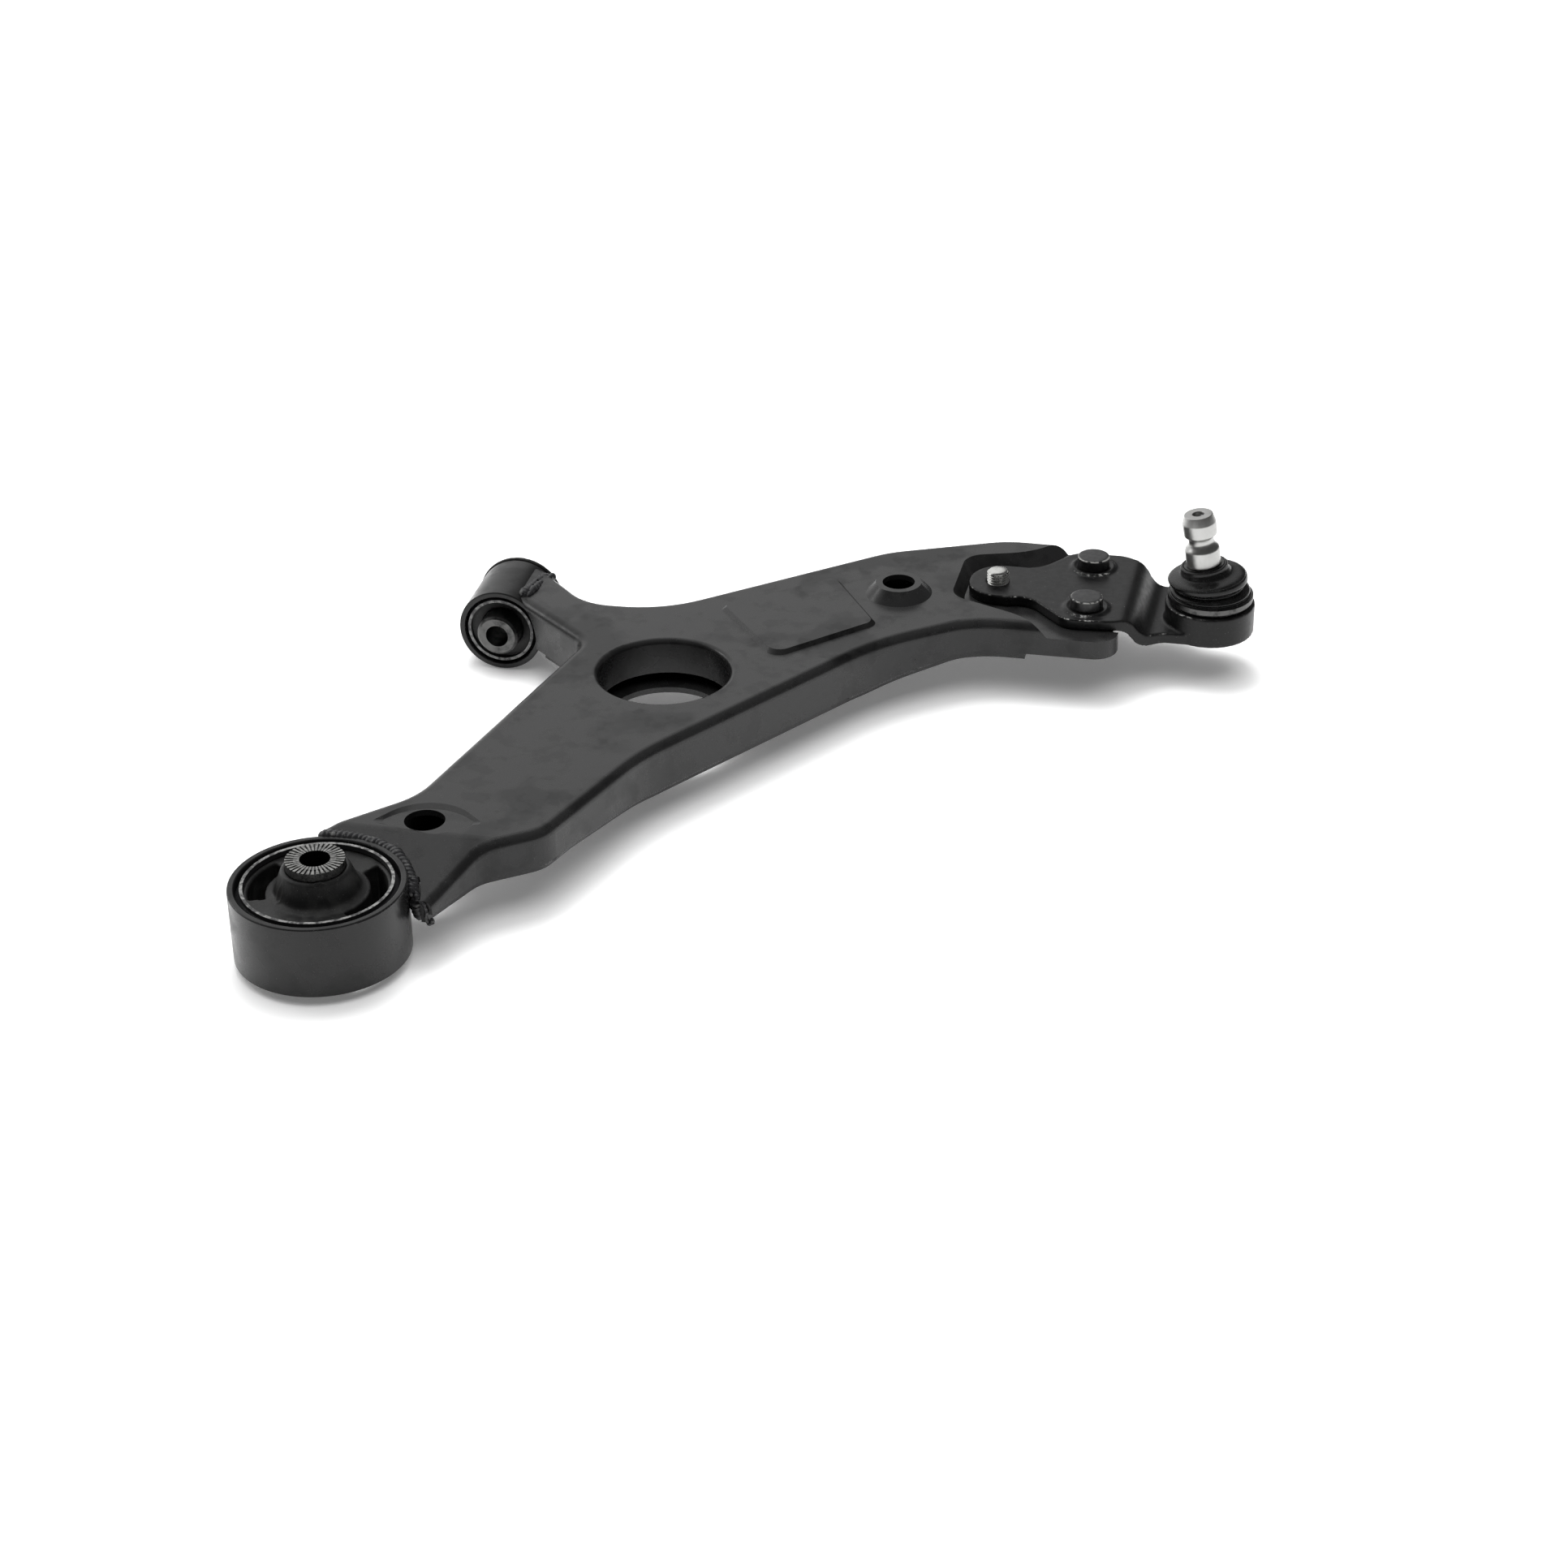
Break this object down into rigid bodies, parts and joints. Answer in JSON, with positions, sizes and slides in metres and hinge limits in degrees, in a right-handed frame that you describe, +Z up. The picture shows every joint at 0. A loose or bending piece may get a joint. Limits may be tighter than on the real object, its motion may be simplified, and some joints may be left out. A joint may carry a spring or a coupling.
{
  "type": "lower suspension control arm",
  "caption": "Curved two-shell pressed steel suspension arm with an upright rear bush, a lying front bush and a riveted-on ball joint with rubber boot and tapered-neck stud.",
  "frame": {"origin": "on the rear bush's bore axis, half way up its steel ring", "axes": "+Z up along the rear bush's bore, +Y along the arm's pivot line from the rear bush to the front bush, +X outboard to the ball joint"},
  "size_m": [0.4303, 0.4464, 0.0902],
  "materials": {
    "arm_coat": "satin black dip coat over pressed steel, slightly mottled",
    "weld_bead": "rippled arc weld under the same thin black coat",
    "can_steel": "dark coated steel with worn bright edges",
    "bush_rubber": "matt moulded black rubber",
    "tube_steel": "machined bare steel with a serrated end face",
    "forged_black": "forged steel with a rough black coat, scraped on its edges",
    "rivet_black": "black coated rivet heads with thin bright rims",
    "bolt_steel": "bright zinc plated thread end",
    "seat_polymer": "natural low-friction engineering plastic",
    "stud_steel": "bright turned steel",
    "boot_rubber": "smooth satin black rubber",
    "ring_steel": "bright spring steel"
  },
  "bodies": {
    "arm": {"top_shell": "arm_coat", "bottom_shell": "arm_coat", "seam_weld": "weld_bead", "rear_bush_housing": "arm_coat", "rear_housing_weld": "weld_bead", "rear_bush_can": "can_steel", "rear_bush_rubber": "bush_rubber", "front_bush_housing": "arm_coat", "front_housing_weld": "weld_bead", "front_bush_can": "can_steel", "front_bush_rubber": "bush_rubber", "ball_joint_plate": "forged_black", "plate_rivets": "rivet_black", "plate_bolt": "bolt_steel", "ball_seat": "seat_polymer", "ball_joint_cover": "forged_black", "seat_preload_ring": "bush_rubber", "dust_boot": "boot_rubber", "boot_lower_ring": "ring_steel"},
    "rear_tube": {"rear_bush_tube": "tube_steel"},
    "front_tube": {"front_bush_tube": "tube_steel"},
    "joint_liner": {"ball_liner": "seat_polymer"},
    "joint_ring": {"boot_upper_ring": "ring_steel"},
    "joint_stud": {"ball_stud": "stud_steel"}
  },
  "joints": [
    {"name": "rear_tube_tilt", "type": "hinge", "parent": "arm", "child": "rear_tube", "pos_m": [0, 0, 0], "axis": [0, 1, 0], "range_deg": [-14, 14], "stiffness_Nm_per_rad": 60, "deforming": ["rear_bush_rubber"]},
    {"name": "front_tube_twist", "type": "hinge", "parent": "arm", "child": "front_tube", "pos_m": [0, 0.3056, 0], "axis": [0, 1, 0], "range_deg": [-20, 20], "stiffness_Nm_per_rad": 50, "deforming": ["front_bush_rubber"]},
    {"name": "stud_swing_out", "type": "hinge", "parent": "arm", "child": "joint_liner", "pos_m": [0.366, 0.358, 0.0095], "axis": [0, 1, 0], "range_deg": [-9.5, 26.5], "deforming": ["dust_boot"]},
    {"name": "stud_swing_fore", "type": "hinge", "parent": "joint_liner", "child": "joint_ring", "pos_m": [0.366, 0.358, 0.0095], "axis": [1, 0, 0], "range_deg": [-12, 12], "deforming": ["dust_boot"]},
    {"name": "stud_spin", "type": "hinge", "parent": "joint_ring", "child": "joint_stud", "pos_m": [0.366, 0.358, 0.0095], "axis": [-0.1478, 0, 0.989], "continuous": true}
  ]
}
